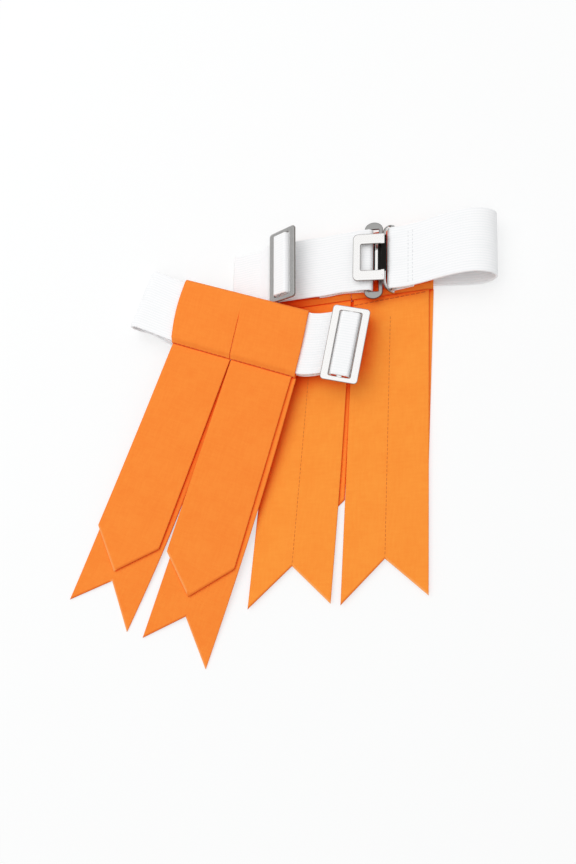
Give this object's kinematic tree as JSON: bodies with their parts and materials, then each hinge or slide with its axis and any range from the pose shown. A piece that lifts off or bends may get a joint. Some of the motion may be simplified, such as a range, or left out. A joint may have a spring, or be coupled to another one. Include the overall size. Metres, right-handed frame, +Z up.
{
  "type": "pair of kilt hose flashes",
  "caption": "Orange cloth ribbons with pointed and swallow-tail ends, hung on white elastic garters with hook clasps and sliders, worn at the top of kilt hose.",
  "frame": {"origin": "on the table under the middle of the pair's box", "axes": "+Z up from the table, +X along the picture's width, +Y from the ribbon tips to the garters"},
  "size_m": [0.1732, 0.1722, 0.014],
  "materials": {
    "orange_cloth": "matt woven cloth, stitched",
    "white_elastic": "matt ribbed elastic",
    "nickel_plate": "bright nickel plate"
  },
  "bodies": {
    "rear_flash": {"rear_strap": "white_elastic", "rear_eye": "nickel_plate", "rear_sleeve_left": "orange_cloth", "rear_sleeve_right": "orange_cloth"},
    "rear_slider": {"rear_slider": "nickel_plate", "rear_slider_turn": "white_elastic"},
    "rear_hook": {"rear_hook": "nickel_plate"},
    "rear_left_point": {"rear_left_point": "orange_cloth"},
    "rear_left_tail": {"rear_left_tail": "orange_cloth"},
    "rear_right_point": {"rear_right_point": "orange_cloth"},
    "rear_right_tail": {"rear_right_tail": "orange_cloth"},
    "front_flash": {"front_strap": "white_elastic", "front_eye": "nickel_plate", "front_sleeve_left": "orange_cloth", "front_sleeve_right": "orange_cloth"},
    "front_slider": {"front_slider": "nickel_plate", "front_slider_turn": "white_elastic"},
    "front_hook": {"front_hook": "nickel_plate"},
    "front_left_tail": {"front_left_tail": "orange_cloth"},
    "front_left_point": {"front_left_point": "orange_cloth"},
    "front_right_tail": {"front_right_tail": "orange_cloth"},
    "front_right_point": {"front_right_point": "orange_cloth"}
  },
  "joints": [
    {"name": "rear_slider_slide", "type": "slide", "parent": "rear_flash", "child": "rear_slider", "axis": [0.9969, 0.0399, 0.0671], "range_m": [0, 0.016]},
    {"name": "rear_hook_open", "type": "hinge", "parent": "rear_flash", "child": "rear_hook", "pos_m": [0.04768, 0.07045, 0.00546], "axis": [0.0262, 0.9997, 0], "range_deg": [0, 75]},
    {"name": "rear_right_tail_swing", "type": "hinge", "parent": "rear_flash", "child": "rear_right_tail", "pos_m": [0.06091, 0.05817, 0], "axis": [0, 0, 1], "range_deg": [0, 5]},
    {"name": "rear_right_point_swing", "type": "hinge", "parent": "rear_flash", "child": "rear_right_point", "pos_m": [0.06267, 0.0583, 0], "axis": [0, 0, 1], "range_deg": [0, 5]},
    {"name": "rear_left_tail_swing", "type": "hinge", "parent": "rear_flash", "child": "rear_left_tail", "pos_m": [0.00178, 0.05382, 0], "axis": [0, 0, -1], "range_deg": [0, 2.5]},
    {"name": "rear_left_point_swing", "type": "hinge", "parent": "rear_flash", "child": "rear_left_point", "pos_m": [0.00353, 0.05395, 0], "axis": [0, 0, -1], "range_deg": [0, 2.5]},
    {"name": "front_lift", "type": "slide", "parent": "rear_flash", "child": "front_flash", "axis": [0, 0, 1], "range_m": [0, 0.08]},
    {"name": "front_slider_slide", "type": "slide", "parent": "front_flash", "child": "front_slider", "axis": [-0.9952, 0.0975, 0], "range_m": [0, 0.008]},
    {"name": "front_hook_open", "type": "hinge", "parent": "front_flash", "child": "front_hook", "pos_m": [-0.03525, 0.05198, 0.00474], "axis": [0.225, 0.9744, 0], "range_deg": [0, 75]},
    {"name": "front_left_tail_lift", "type": "hinge", "parent": "front_flash", "child": "front_left_tail", "pos_m": [-0.0289, 0.03636, 0.00805], "axis": [-0.9487, 0.3161, 0], "range_deg": [0, 50]},
    {"name": "front_left_point_lift", "type": "hinge", "parent": "front_left_tail", "child": "front_left_point", "pos_m": [-0.0289, 0.03636, 0.00805], "axis": [-0.9487, 0.3161, 0], "range_deg": [0, 50]},
    {"name": "front_right_tail_lift", "type": "hinge", "parent": "front_flash", "child": "front_right_tail", "pos_m": [-0.00327, 0.02782, 0.00805], "axis": [-0.9487, 0.3161, 0], "range_deg": [0, 50]},
    {"name": "front_right_point_lift", "type": "hinge", "parent": "front_right_tail", "child": "front_right_point", "pos_m": [-0.00327, 0.02782, 0.00805], "axis": [-0.9487, 0.3161, 0], "range_deg": [0, 50]}
  ]
}
